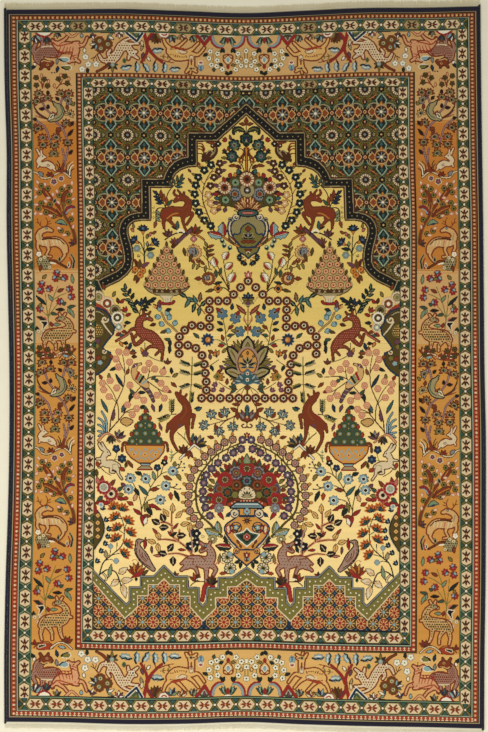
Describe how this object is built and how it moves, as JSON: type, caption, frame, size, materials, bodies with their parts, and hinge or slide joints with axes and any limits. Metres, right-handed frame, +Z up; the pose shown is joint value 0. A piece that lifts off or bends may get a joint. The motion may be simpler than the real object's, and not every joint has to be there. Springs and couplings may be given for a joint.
{
  "type": "persian rug",
  "caption": "Flat hand-knotted wool rug with overcast side cords, a woven strip at each end and short cotton fringes.",
  "frame": {"origin": "on the floor, under the middle of the whole rug's bounding box", "axes": "+Y along the rug, towards the end with the arch's point; +X across it, to the right with the arch at the top; +Z up out of the pile"},
  "size_m": [1.4214, 2.1716, 0.009],
  "materials": {
    "wool_pile": "matt wool pile in many colours",
    "navy_wool": "matt navy wool, overcast",
    "cotton_warp": "matt cream cotton"
  },
  "bodies": {
    "root": {"rug_body": "wool_pile", "side_cord_left": "navy_wool", "side_cord_right": "navy_wool", "fringe_foot": "cotton_warp", "fringe_arch": "cotton_warp"}
  },
  "joints": []
}
